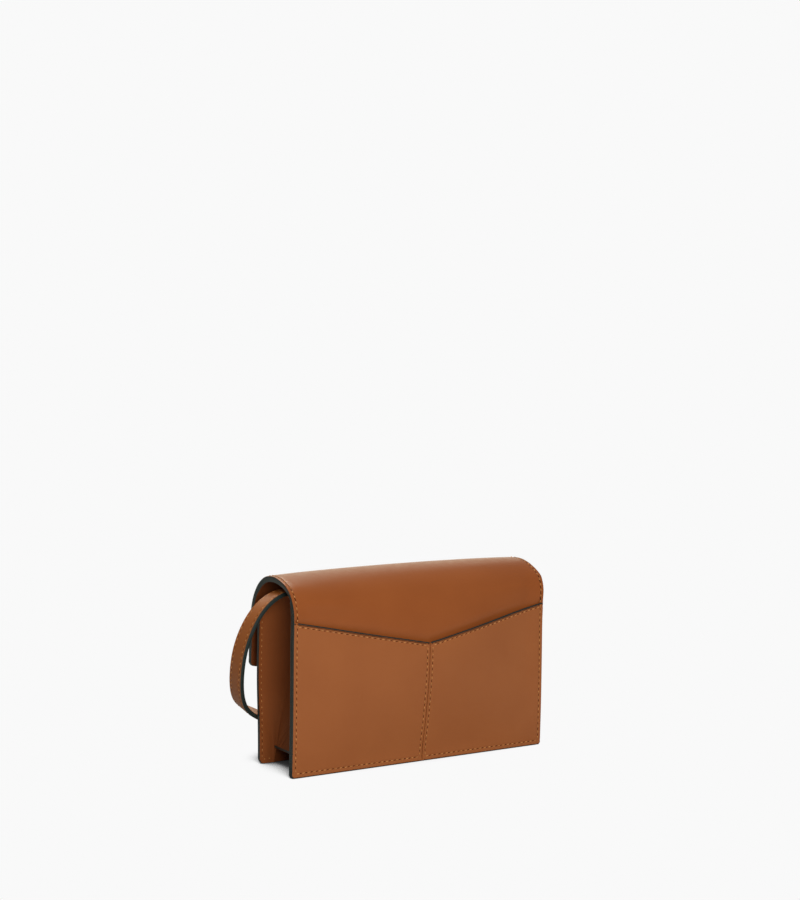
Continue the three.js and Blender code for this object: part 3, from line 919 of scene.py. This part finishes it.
# %% The stitch maker
PITCH = 4.0
STITCH_LENGTH = 1.8
THREAD_RADIUS = 0.34
THREAD_TAPER = 0.4
STITCH_RISE, STITCH_SINK = 0.28, 0.3
STITCH_SLANT = 0.14
STITCH_RINGS = 5
THREAD_SIDES = 6
SLIT_SIDES = 8
SLIT_LONG, SLIT_WIDE = 1.3, 0.5
SLIT_SLANT = 0.26
SLIT_RISE, SLIT_SINK = 0.2, 0.06


def stitch_shape():
    """An arched tube: rings of a small circle along s from -1 to 1, its radius x (1 - taper s^4), risen by
    rise (1 - s^2) - sink s^2. Points are given along, to the side and up."""
    turn = np.linspace(0, 2 * np.pi, THREAD_SIDES, endpoint=False)
    s, angle = np.meshgrid(np.linspace(-1, 1, STITCH_RINGS), turn, indexing="ij")
    radius = THREAD_RADIUS * (1 - THREAD_TAPER * s ** 4)
    along = s * STITCH_LENGTH / 2
    sideways = radius * np.cos(angle) + STITCH_SLANT * along
    up = STITCH_RISE * (1 - s ** 2) - STITCH_SINK * s ** 2 + radius * np.sin(angle)
    return np.stack([along, sideways, up], axis=-1).reshape(-1, 3)


def slit_shape():
    """A flat lens: a sunken ring of an ellipse and one point a little above it."""
    angle = np.linspace(0, 2 * np.pi, SLIT_SIDES, endpoint=False)
    along = SLIT_LONG * np.cos(angle)
    sideways = SLIT_SLANT * along + SLIT_WIDE * np.sin(angle)
    ring = np.stack([along, sideways, np.full(SLIT_SIDES, -SLIT_SINK)], axis=1)
    return np.vstack([ring, (0.0, 0.0, SLIT_RISE)])


def copies(faces, count, size, first=0):
    """The faces of that many copies of a shape, each of size points, numbered on from first."""
    starts = first + size * np.arange(count)
    return (faces + starts[:, None, None]).reshape(-1, faces.shape[1]).tolist()


def set_along(shape, line, normal, share):
    """The points of a shape's copies at shares of a line's length, each turned along the line."""
    length = run_lengths(line)
    known = np.hstack([line, unit(np.gradient(line, axis=0)), normal])
    found = np.stack([np.interp(share * length[-1], length, part) for part in known.T], axis=1)
    centre, tangent, upright = np.split(found, 3, axis=1)
    tangent = unit(tangent)
    side = unit(np.cross(unit(upright), tangent))
    axes = np.stack([tangent, side, np.cross(tangent, side)], axis=1)
    return (centre[:, None] + shape @ axes).reshape(-1, 3)


def sew(name, rows, size=1.0):
    """Sews rows, each a line of points and its normals, into one mesh. size is 1 for the coarse thread."""
    stitches, slits = [], []
    for line, normal in rows:
        count = max(1, round(run_lengths(line)[-1] / PITCH))
        stitches.append(set_along(size * stitch_shape(), line, normal, (np.arange(count) + 0.5) / count))
        slits.append(set_along(size * slit_shape(), line, normal, np.arange(1, count) / count))
    points = np.vstack(stitches + slits)
    tube = np.arange(STITCH_RINGS * THREAD_SIDES).reshape(STITCH_RINGS, THREAD_SIDES)
    ring = np.arange(SLIT_SIDES)
    fan = np.stack([ring, np.roll(ring, -1), np.full(SLIT_SIDES, SLIT_SIDES)], axis=1)
    first_slit = sum(len(part) for part in stitches)
    sewn = first_slit // tube.size
    cut = (len(points) - first_slit) // (SLIT_SIDES + 1)
    faces = copies(grid_faces(np.hstack([tube, tube[:, :1]])), sewn, tube.size)
    faces += copies(np.stack([tube[0, ::-1], tube[-1]]), sewn, tube.size)
    thread_count = len(faces)
    faces += copies(fan, cut, SLIT_SIDES + 1, first_slit)
    faces += copies(ring[None, ::-1], cut, SLIT_SIDES + 1, first_slit)
    piece = make_mesh(name, points, faces, np.arange(len(faces)) >= thread_count, (thread, slit))
    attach(piece, "root")
    print(name, "stitches:", sewn)


# %% [markdown]
# ## Where the rows run
#
# Rows run beside every edge: round each pocket half, on over the top along the flap, round the flap's
# V, round the front panel, down the gussets' flanges and along both edges of the strap. A row is found
# on the same face as the leather it sews, by a line of across and length, so it can't float or sink.

# %% Sew the panels
NORMAL_STEP = 0.05
LINE_STEPS = 400


def row_on(face, facing, across, length):
    """A row pressed into a panel's face, and the normals there from the slopes across and along it."""
    across, length = np.broadcast_arrays(np.asarray(across, float), np.asarray(length, float))
    over = face(across + NORMAL_STEP, length) - face(across - NORMAL_STEP, length)
    along = face(across, length + NORMAL_STEP) - face(across, length - NORMAL_STEP)
    normal = -facing * unit(np.cross(over, along))
    return face(across, length) - normal * PRESS_DEPTH, normal


def built_up_face(across, length):
    """The shell with its strips at the ends."""
    return shell_face(across, length, strip_rise(across, length))


pocket_rows, shell_rows, front_rows = [], [], []
mouth = pocket_length(side_place)  # here the side rows pass from the pocket to the shell
seam_end = pocket_length(SEAM_ROW) - POCKET_ROW
flap_end = flap_length(side_place) - FLAP_ROW
front_end = front_top - TOP_ROW
for end in (1, -1):
    to_seam = np.linspace(side_place, SEAM_ROW, LINE_STEPS) * end
    pocket_rows += [
        row_on(pocket_face, 1, end * side_place, np.linspace(BOTTOM_ROW, mouth, LINE_STEPS)),
        row_on(pocket_face, 1, to_seam, pocket_length(to_seam) - POCKET_ROW),
        row_on(pocket_face, 1, to_seam, BOTTOM_ROW),
        row_on(pocket_face, 1, end * SEAM_ROW, np.linspace(BOTTOM_ROW, seam_end, LINE_STEPS)),
    ]
    to_middle = np.linspace(side_place, 0, LINE_STEPS) * end
    shell_rows += [
        row_on(built_up_face, 1, end * side_place, np.linspace(mouth, flap_end, LINE_STEPS)),
        row_on(shell_face, 1, to_middle, flap_length(to_middle) - FLAP_ROW),
    ]
    front_rows += [
        row_on(front_face, -1, end * side_place, np.linspace(BOTTOM_ROW, front_end, LINE_STEPS)),
        row_on(front_face, -1, to_middle, BOTTOM_ROW),
        row_on(front_face, -1, to_middle, front_end),
    ]
sew("pocket_stitches", pocket_rows)
sew("shell_stitches", shell_rows)
sew("front_stitches", front_rows)

# %% Sew the gussets and the strap
FLANGE_TOP = 104.0
STRAP_INNER_SINK = 0.3  # the thread lies deeper on the inner face
FINE_THREAD = 0.78


def channel_row(end, facing, across, height):
    """A row on the face of a flange that looks into the channel."""
    depth = flange_depths(height)[0 if facing > 0 else 1] - facing * PRESS_DEPTH
    normal = np.broadcast_to([0.0, facing, 0.0], (LINE_STEPS, 3))
    return np.stack([end * across, depth, height], axis=1), normal


flange_place = np.full(LINE_STEPS, HALF_WIDTH - GUSSET_ROW)
flange_height = np.linspace(FLANGE_TOP, BOTTOM_ROW, LINE_STEPS)
foot_place = np.linspace(flange_place[0], SWELL_REACH + FOOT_OUT + FOLD_RADIUS_BOTTOM, LINE_STEPS)
foot_height = np.full(LINE_STEPS, BOTTOM_ROW)
gusset_rows = []
for end, facing in ((1, 1), (1, -1), (-1, 1), (-1, -1)):
    gusset_rows.append(channel_row(end, facing, flange_place, flange_height))
    gusset_rows.append(channel_row(end, facing, foot_place, foot_height))
sew("gusset_stitches", gusset_rows, FINE_THREAD)

strap_rows = []
for offset in (STRAP_WIDTH / 2 - STRAP_ROW, STRAP_ROW - STRAP_WIDTH / 2):
    strap_rows.append((strap_face(offset, STRAP_THICKNESS / 2 - PRESS_DEPTH), strap_out))
    strap_rows.append((strap_face(offset, STRAP_INNER_SINK - STRAP_THICKNESS / 2), -strap_out))
sew("strap_stitches", strap_rows, FINE_THREAD)

# %% [markdown]
# ## Floor, light and camera
#
# The bag stands in a white studio: paper that runs out of sight, a soft lamp beside the camera, another
# high on the far side, a dim white room, and a warm card beyond the bag that the rolled top mirrors. In
# such photos the paper is exposed until it is plain white and only the soft contact shadow stays. Real
# light would need two exposures for that, so the camera sees the paper as white, darkened where the
# bag shuts out the light, while the bag itself is lit by grey paper.

# %% Set the stage
FLOOR_X, FLOOR_Y = (-20.0, 40.0), (-30.0, 30.0)  # off centre: no edge between its triangles is near
PAPER_WHITE = linear("#F9F9F9")
SHADOW_REACH = 45 * MM
SHADOW_AXIS = (0.25, 0.65, 0.72)  # most of the light comes from the camera's side
COVER_REACH = 60 * MM
COVER_SHARE = 0.5
SKY_SAMPLES = 16
MIX_FIRST, MIX_SECOND = 2, 3  # a number Mix node's inputs
PAPER_TONES = (
    (0.0, "#0A0A0A"), (0.32, "#2A2A2A"), (0.365, "#383838"), (0.42, "#545454"), (0.45, "#7C7C7C"),
    (0.49, "#A8A8A8"), (0.54, "#D4D4D4"), (0.58, "#E7E7E7"), (0.62, "#F2F2F2"), (0.68, "#F9F9F9"),
)
ROOM_LIGHT = 0.22


def paper_sweep():
    """White paper as the camera sees it: white in the open and, by a ramp of greys, shaded where little
    sky is left. Other rays meet grey paper, which sends back a third of its light."""
    material, tree, _ = start_material("white_paper_sweep")
    axis = add_node(tree, "CombineXYZ", dict(enumerate(SHADOW_AXIS)))
    sky = add_node(tree, "AmbientOcclusion", {
        "Distance": SHADOW_REACH, "Normal": axis.outputs[0],
    }, samples=SKY_SAMPLES)
    cover = add_node(tree, "AmbientOcclusion", {"Distance": COVER_REACH}, samples=SKY_SAMPLES)
    open_share = add_node(tree, "Mix", {
        MIX_SHARE: COVER_SHARE, MIX_FIRST: sky.outputs["AO"], MIX_SECOND: cover.outputs["AO"],
    }, data_type="FLOAT")
    ramp = add_node(tree, "ValToRGB", {"Fac": open_share.outputs[0]})
    stops = ramp.color_ramp.elements
    stops.remove(stops[-1])
    for place, grey in PAPER_TONES[1:]:
        stops.new(place).color = linear(grey)
    stops[0].color = linear(PAPER_TONES[0][1])
    white = add_node(tree, "Emission", {"Color": ramp.outputs["Color"]})
    grey = add_node(tree, "BsdfDiffuse", {"Color": linear("#A0A0A0")})
    seen = add_node(tree, "LightPath", {}).outputs["Is Camera Ray"]
    surface = add_node(tree, "MixShader", {0: seen, 1: grey.outputs[0], 2: white.outputs[0]})
    add_node(tree, "OutputMaterial", {"Surface": surface.outputs[0]})
    return material


floor_corners = [(FLOOR_X[i], FLOOR_Y[j], 0.0) for i, j in ((0, 0), (1, 0), (1, 1), (0, 1))]
floor_mesh = bpy.data.meshes.new("studio_floor")
floor_mesh.from_pydata(floor_corners, [], [(0, 1, 2, 3)])
floor_mesh.materials.append(paper_sweep())
floor = add_object("studio_floor", floor_mesh)

world = bpy.data.worlds.new("white_studio")
bpy.context.scene.world = world
world.use_nodes = True
world.node_tree.nodes.clear()
seen = add_node(world.node_tree, "LightPath", {}).outputs["Is Camera Ray"]
room = add_node(world.node_tree, "Mix", {
    MIX_SHARE: seen, MIX_DARK: (ROOM_LIGHT, ROOM_LIGHT, ROOM_LIGHT, 1.0), MIX_PALE: PAPER_WHITE,
}, data_type="RGBA")
glow = add_node(world.node_tree, "Background", {"Color": room.outputs[MIX_COLOUR]})
add_node(world.node_tree, "OutputWorld", {"Surface": glow.outputs[0]})
print("floor from", floor_corners[0][:2], "to", floor_corners[2][:2], "m")

# %% Light the bag
BAG_MIDDLE = np.array([0.0, 0.0, 0.06])


def facing_bag(turn, rise, roll=0.0):
    """The right, up and back axes of a lamp or camera that looks at the bag. turn goes from the bag's
    back to its left end, rise up from the floor and roll about the view, in degrees."""
    turn, rise, roll = np.radians([turn, rise, roll])
    back = np.array([np.sin(turn) * np.cos(rise), np.cos(turn) * np.cos(rise), np.sin(rise)])
    level = np.array([-np.cos(turn), np.sin(turn), 0.0])
    upright = np.cross(back, level)
    right = np.cos(roll) * level + np.sin(roll) * upright
    return right, np.cross(back, right), back


def stand(placed, axes, place):
    """Turns an object along three axes and puts it in its place."""
    placed.matrix_world = Matrix(np.column_stack([*axes, place]).tolist() + [[0.0, 0.0, 0.0, 1.0]])
    print(placed.name, "at", np.round(place, 2))


def soft_lamp(name, turn, rise, distance, size, power, tint="#FFFFFF", mirrored=True):
    """A square lamp that looks at the bag. mirrored says whether the leather's shine shows it."""
    light = bpy.data.lights.new(name, "AREA")
    light.size = size
    light.energy = power
    light.color = linear(tint)[:3]
    lamp = add_object(name, light)
    lamp.visible_glossy = mirrored
    axes = facing_bag(turn, rise)
    stand(lamp, axes, BAG_MIDDLE + axes[2] * distance)


soft_lamp("soft_key", turn=18, rise=18, distance=1.3, size=0.6, power=13.6, mirrored=False)
soft_lamp("overhead", turn=180, rise=58, distance=1.3, size=0.8, power=13.0, tint="#F9F9E6")
soft_lamp("warm_card", turn=200, rise=14, distance=1.8, size=1.6, power=9.0, tint="#FBF1D4")

# %% Place the camera
CAMERA_PLACE = np.array([606.0, 916.4, 271.3])  # in the bag's frame
CAMERA_LENS = 65.2

lens = bpy.data.cameras.new("photo_camera")
lens.lens = CAMERA_LENS
camera = add_object("photo_camera", lens)
stand(camera, facing_bag(turn=33.144, rise=3.335, roll=1.2035), CAMERA_PLACE * MM + bag_origin)
bpy.context.scene.camera = camera
bpy.context.scene.view_settings.view_transform = "Standard"  # hex colours are meant as seen
